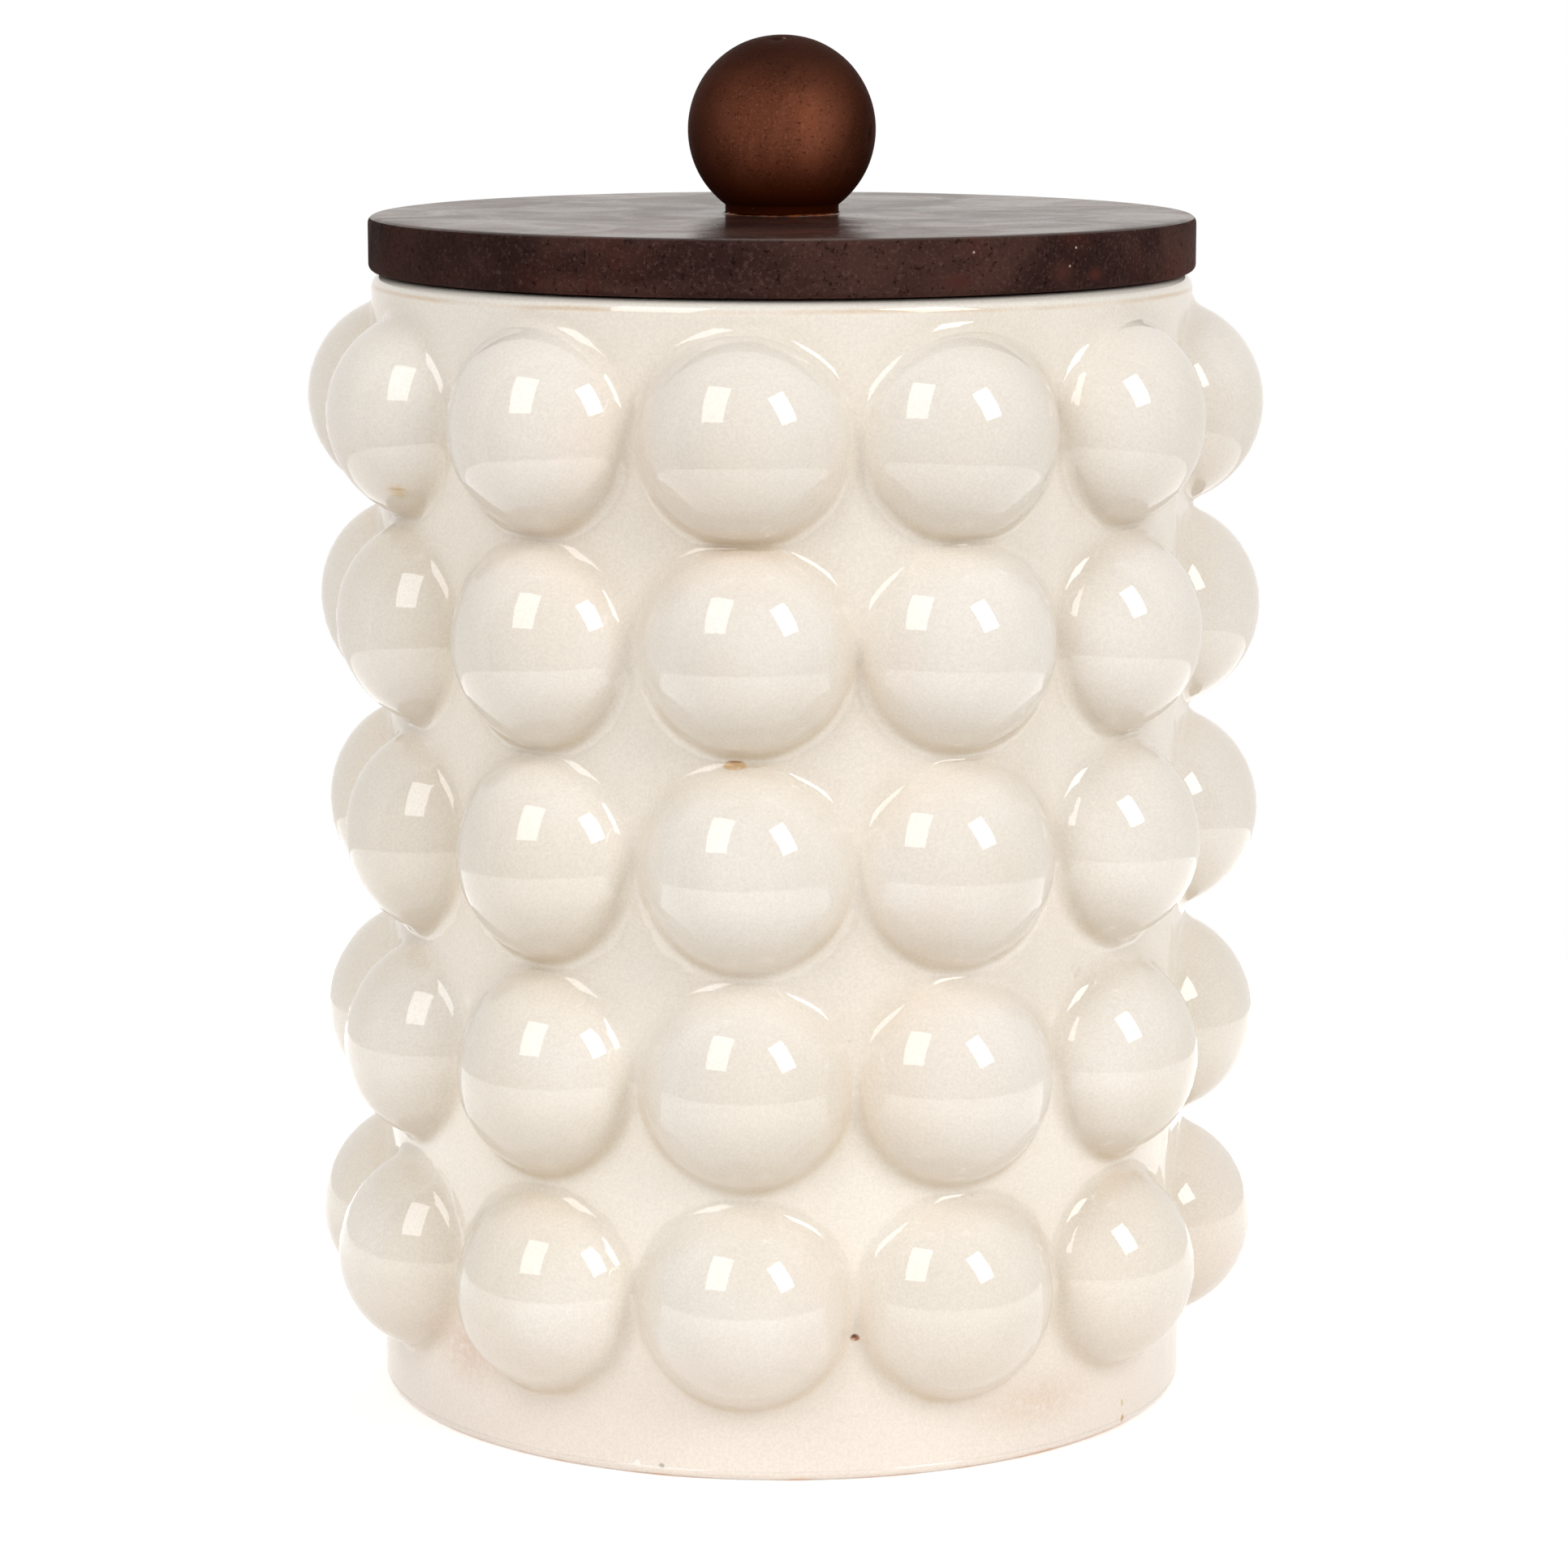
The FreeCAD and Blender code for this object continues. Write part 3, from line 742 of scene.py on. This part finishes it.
def buildLid():
    # two turned boards: the wide one over the mouth, and the narrow one under it, grooved for the soft ring
    polished, sanded = woodMaterial("polished dark wood", lidWood), woodMaterial("sanded dark wood", edgeWood)
    path = fillPath(roundedPath([
        (lid["hole"], lid["bottom"], 0),
        (lid["radius"], lid["bottom"], lid["edgeRound"]),
        (lid["radius"], lid["top"], lid["edgeRound"]),
        (lid["hole"], lid["top"], 0),
    ], 7), 3.5, closed=True)
    heights = (path[:, 1] + np.roll(path[:, 1], -1)) / 2
    below = (heights < lid["top"] - 0.35 * lid["edgeRound"]).astype(int)
    turnedPiece("lid_board", path, lid["columns"], "lid", [polished, sanded], ["lid_disc"],
                lid["waviness"], 5, below)
    sinkTop = plug["bottom"] + plug["sinkDepth"]
    path = fillPath(roundedPath([
        (lid["hole"], lid["bottom"], 0),
        (lid["hole"], sinkTop + plug["sinkRadius"] - lid["hole"], 0),
        (plug["sinkRadius"], sinkTop, 0),
        (plug["sinkRadius"], plug["bottom"], 0),
        (plug["radius"], plug["bottom"], plug["edgeRound"]),
        (plug["radius"], plug["grooveBottom"], 0.25),
        (plug["grooveRadius"], plug["grooveBottom"], 0.2),
        (plug["grooveRadius"], plug["grooveTop"], 0.2),
        (plug["radius"], plug["grooveTop"], 0.25),
        (plug["radius"], lid["bottom"], 0),
    ], 5), 3.5, closed=True)
    turnedPiece("lid_under_disc", path, plug["columns"], "lid", [sanded], ["lid_plug"])


buildLid()


# The knob with its glue

knob = {
    "radius": 15.0,
    "centre": 202.9,
    "footRadius": 9.1,
    "footBottom": 189.6,
    "bore": 2.15,
    "boreTop": 203.35,
    "columns": 160,
    "waviness": 0.1,
    "dents": (
        ((-0.8, -4.2, 217.3), 0.9, 0.28),
        ((0.8, -3.6, 217.4), 0.6, 0.15),
        ((14.0, -5.6, 203.2), 0.5, 0.3),
        ((13.9, -5.9, 202.2), 0.5, 0.3),
        ((13.6, -6.0, 201.2), 0.45, 0.2),
    ),
}
glue = {
    "inside": 9.15,
    "width": 0.58,
    "height": 0.5,
    "bottom": 189.6,
    "columns": 220,
    "colour": (128, 66, 26),
    "darkColour": (62, 28, 12),
}


def buildKnob():
    # a ball that runs down into a short foot, round a blind bore; each dent sinks it by a bell curve of distance
    path = roundedPath([
        (knob["bore"], knob["boreTop"], 0),
        (knob["bore"], knob["footBottom"], 0),
        (knob["footRadius"], knob["footBottom"], 0.3),
        (knob["footRadius"], knob["centre"] - math.sqrt(knob["radius"] ** 2 - knob["footRadius"] ** 2), 0),
    ], 4)
    path = fillPath(path, 2.5)
    neck = math.asin(knob["footRadius"] / knob["radius"])
    angle = np.linspace(math.pi - neck, 0, 96)[1:-1]
    ball = np.stack([knob["radius"] * np.sin(angle), knob["centre"] + knob["radius"] * np.cos(angle)], -1)
    path = np.concatenate([path, ball])
    columns = knob["columns"]
    ring = turnedGrid(path, columns).reshape(-1, 3)
    poles = [[0, 0, knob["boreTop"] + knob["bore"]], [0, 0, knob["centre"] + knob["radius"]]]
    points = np.concatenate([poles[:1], ring, poles[1:]])
    crown = len(points) - 1
    faces = [
        *fanFaces(0, 1, columns, True).tolist(),
        *gridQuads(len(path), columns, 1).tolist(),
        *fanFaces(crown, crown - columns, columns, False).tolist(),
    ]
    middle = np.array([0, 0, knob["centre"]])
    outward = points - middle
    distance = np.linalg.norm(outward, axis=1)
    onBall = distance > knob["radius"] - 0.2
    sink = knob["waviness"] * (1 - softNoise(points, 14, 3).clip(-1, 1)) / 2
    for spot, size, depth in knob["dents"]:
        sink = sink + depth * np.exp(-((points - np.array(spot)) ** 2).sum(1) / size ** 2)
    points = np.where(onBall[:, None], middle + outward * (1 - sink / np.maximum(distance, 1))[:, None], points)
    stained = woodMaterial("brown stained ball", knobWood)
    makePiece("knob", points, faces, "lid", [stained], ["knob_ball"])


def buildGlue():
    # the bead's section is a quarter oval whose width and height wander round the foot
    columns, steps = glue["columns"], 9
    turn = np.arange(columns) / columns * fullTurn
    around = np.stack([np.cos(turn), np.sin(turn), np.zeros(columns)], -1) * glue["inside"]
    swell = (0.62 + 0.38 * softNoise(around, 5, 8).clip(-1, 1))[None, :]
    crumb = (0.75 + 0.25 * softNoise(around, 1.3, 9).clip(-1, 1))[None, :]
    angle = np.linspace(0, math.pi / 2, steps)[:, None]
    radius = glue["inside"] + glue["width"] * swell * np.cos(angle)
    height = glue["bottom"] + glue["height"] * swell * crumb * np.sin(angle)
    radius = np.concatenate([np.full((1, columns), glue["inside"]), radius])
    height = np.concatenate([np.full((1, columns), glue["bottom"]), height])
    points = np.stack([radius * np.cos(turn), radius * np.sin(turn), height], -1)
    faces = closedFaces(len(points), columns)
    material, tree, shader = newMaterial("amber glue", 0.3, 1.5)
    place = placeOn(tree)
    drift = levels(tree, noiseOn(tree, place, 400, 4.0), 0.35, 0.65)
    colour = blend(tree, drift, paint(*glue["darkColour"]), paint(*glue["colour"]))
    tree.links.new(colour, shader.inputs["Base Color"])
    bumpFrom(tree, shader, (noiseOn(tree, place, 1500, 3.0), 0.0001))
    points = points.reshape(-1, 3)
    makePiece("glue_bead", points, faces, "lid", [material], ["knob_glue_bead"])


buildKnob()
buildGlue()


# Nodes that stay as the frame made them: the soft ring and the screw

softRing = {
    "milky": (226, 224, 216),
    "clear": (238, 237, 231),
    "roughness": (0.22, 0.36),
    "ior": 1.41,
    "transmission": 0.45,
}
screw = {
    "dull": (176, 176, 172),
    "bright": (204, 203, 198),
    "roughness": (0.22, 0.42),
}


def siliconeMaterial():
    material, tree, shader = newMaterial("clear silicone", softRing["roughness"][0], softRing["ior"])
    place = placeOn(tree)
    haze = levels(tree, noiseOn(tree, place, 220, 3.0), 0.3, 0.7)
    tree.links.new(blend(tree, haze, paint(*softRing["milky"]), paint(*softRing["clear"])), shader.inputs["Base Color"])
    tree.links.new(levels(tree, haze, 0.0, 1.0, *softRing["roughness"]), shader.inputs["Roughness"])
    shader.inputs["Transmission Weight"].default_value = softRing["transmission"]
    bumpFrom(tree, shader, (noiseOn(tree, place, 700, 2.0), 0.00002))
    return material


def screwMaterial():
    material, tree, shader = newMaterial("zinc plated steel", screw["roughness"][0])
    place = placeOn(tree)
    shader.inputs["Metallic"].default_value = 1.0
    cloud = levels(tree, noiseOn(tree, place, 500, 4.0), 0.3, 0.7)
    tree.links.new(blend(tree, cloud, paint(*screw["dull"]), paint(*screw["bright"])), shader.inputs["Base Color"])
    scratch = noiseOn(tree, placeOn(tree, (1, 1, 8)), 900, 3.0)
    tree.links.new(levels(tree, scratch, 0.3, 0.7, *screw["roughness"]), shader.inputs["Roughness"])
    bumpFrom(tree, shader, (scratch, 0.00001))
    return material


for nodeName, material in (("seal_ring", siliconeMaterial()), ("knob_screw", screwMaterial())):
    nodes[nodeName].data.materials.clear()
    nodes[nodeName].data.materials.append(material)
print("materials on the ring and the screw")


# Studio: floor, world, lamps and camera

studio = {
    "tableRadius": 0.37,
    "tableColour": (245, 243, 240),
    "tableLift": 0.4,
    "tableBounce": 0.08,
    "shadowReach": (0.085, 0.19),
    "worldLight": (0.393, 0.458),
    "frontLight": (1.1, 0.95),
    "roomLight": (0.5, 0.7),
    "roomColour": (1.0, 0.96, 0.92, 1.0),
    "roomEdge": (-0.24, -0.2),
    "aim": (0.0, 0.0, 0.1),
    "lamps": (  # name, turn, rise, distance, width, height, roll, brightness, seen in gloss
        ("left box", -37.5, 37.5, 1.6, 0.65, 1.0, 6.0, 3.3, True),
        ("right box", 44.5, 32.5, 1.8, 0.57, 0.92, 11.0, 5.4, True),
        ("top lamp", 175.0, 72.7, 1.5, 0.18, 0.18, 0.0, 4.0, True),
        ("back box", 180.0, 30.0, 1.8, 1.6, 1.0, 0.0, 1.3, False),
    ),
    "cameraPlace": (0.0, -0.80383, 0.23605),
    "cameraDown": 9.797,
    "lens": 115.18,
    "shift": 0.0013,
}


def seenRays(tree):
    # 1 for rays that look straight at something or through clear pieces, and 1 for rays in gloss
    rays = addNode(tree, "LightPath")
    straight = combine(tree, "ADD", rays.outputs["Is Camera Ray"], rays.outputs["Is Transmission Ray"])
    return levels(tree, straight, 0.0, 1.0), rays.outputs["Is Glossy Ray"]


def buildFloor():
    # a round white table that ends where the world behind it is as white
    columns, rings = 128, np.array([0.04, 0.1, 0.2, 0.3, studio["tableRadius"]])
    turn = np.arange(columns) / columns * fullTurn
    flat = np.zeros((len(rings), columns))
    grid = np.stack([rings[:, None] * np.cos(turn), rings[:, None] * np.sin(turn), flat], -1)
    mesh = bpy.data.meshes.new("table")
    faces = fanFaces(0, 1, columns, False).tolist() + gridQuads(len(rings), columns, 1)[:, ::-1].tolist()
    mesh.from_pydata([(0, 0, 0), *grid.reshape(-1, 3).tolist()], [], faces)
    material, tree, shader = newMaterial("white table", 0.9)
    shader.inputs["Base Color"].default_value = paint(*studio["tableColour"])
    shader.inputs["Emission Color"].default_value = (1, 1, 1, 1)
    shader.inputs["Specular IOR Level"].default_value = 0.0
    # near the jar the table keeps its shadow, and further out it glows as white as the world behind it
    straight, glossy = seenRays(tree)
    distance = addNode(tree, "VectorMath", {0: placeOn(tree)}, operation="LENGTH").outputs["Value"]
    glow = levels(tree, distance, studio["shadowReach"][0], studio["shadowReach"][1], studio["tableLift"], 1.0)
    seen = combine(tree, "MAXIMUM", straight, glossy)
    strength = combine(tree, "MAXIMUM", combine(tree, "MULTIPLY", seen, glow), studio["tableBounce"])
    tree.links.new(strength, shader.inputs["Emission Strength"])
    mesh.materials.append(material)
    table = bpy.data.objects.new("table", mesh)
    bpy.context.scene.collection.objects.link(table)


def buildWorld():
    # white wherever it is looked at; gloss sees the white backdrop behind the jar and a dimmer room in front of it
    world = bpy.data.worlds.new("plain studio")
    bpy.context.scene.world = world
    world.use_nodes = True
    tree = world.node_tree
    straight, glossy = seenRays(tree)
    heading = addNode(tree, "SeparateXYZ", {0: addNode(tree, "TexCoord").outputs["Generated"]})
    sideways, backward = heading.outputs["X"], heading.outputs["Y"]
    dim = levels(tree, sideways, -0.5, 0.8, *studio["roomLight"])
    room = combine(tree, "MAXIMUM", dim, levels(tree, backward, *studio["roomEdge"]))
    mirrored = combine(tree, "MULTIPLY", glossy, room)
    even = combine(tree, "MULTIPLY", levels(tree, sideways, -1.0, 1.0, *studio["worldLight"]),
                   levels(tree, backward, -0.7, 0.7, *studio["frontLight"]))
    unseen = combine(tree, "MULTIPLY", combine(tree, "SUBTRACT", 1.0, glossy), even)
    strength = combine(tree, "MAXIMUM", straight, combine(tree, "ADD", mirrored, unseen))
    background = tree.nodes["Background"]
    tree.links.new(blend(tree, glossy, (1, 1, 1, 1), studio["roomColour"]), background.inputs["Color"])
    tree.links.new(strength, background.inputs["Strength"])


def buildLamps():
    # each lamp stands on a sphere round the aim, and its power is its brightness times its area times four
    aim = Vector(studio["aim"])
    for name, turn, rise, away, width, height, roll, radiance, mirrored in studio["lamps"]:
        turn, rise = math.radians(turn), math.radians(rise)
        direction = Vector((math.sin(turn) * math.cos(rise), -math.cos(turn) * math.cos(rise), math.sin(rise)))
        lamp = bpy.data.lights.new(name, "AREA")
        lamp.shape = "RECTANGLE"
        lamp.size, lamp.size_y = width, height
        lamp.energy = radiance * 4 * width * height
        holder = bpy.data.objects.new(name, lamp)
        spin = Matrix.Rotation(math.radians(roll), 4, "Z")
        towards = (-direction).to_track_quat("-Z", "Y").to_matrix().to_4x4()
        holder.matrix_world = Matrix.Translation(aim + direction * away) @ towards @ spin
        holder.visible_glossy = mirrored  # the back box only fills the shade behind
        bpy.context.scene.collection.objects.link(holder)


def buildCamera():
    camera = bpy.data.cameras.new("camera")
    camera.lens = studio["lens"]
    camera.sensor_width = 36.0
    camera.shift_x = studio["shift"]
    camera.clip_start, camera.clip_end = 0.01, 50.0
    holder = bpy.data.objects.new("camera", camera)
    holder.location = studio["cameraPlace"]
    holder.rotation_euler = (math.radians(90 - studio["cameraDown"]), 0, 0)
    bpy.context.scene.collection.objects.link(holder)
    bpy.context.scene.camera = holder


buildFloor()
buildWorld()
buildLamps()
buildCamera()
bpy.context.scene.view_settings.view_transform = "Standard"
print("studio ready")
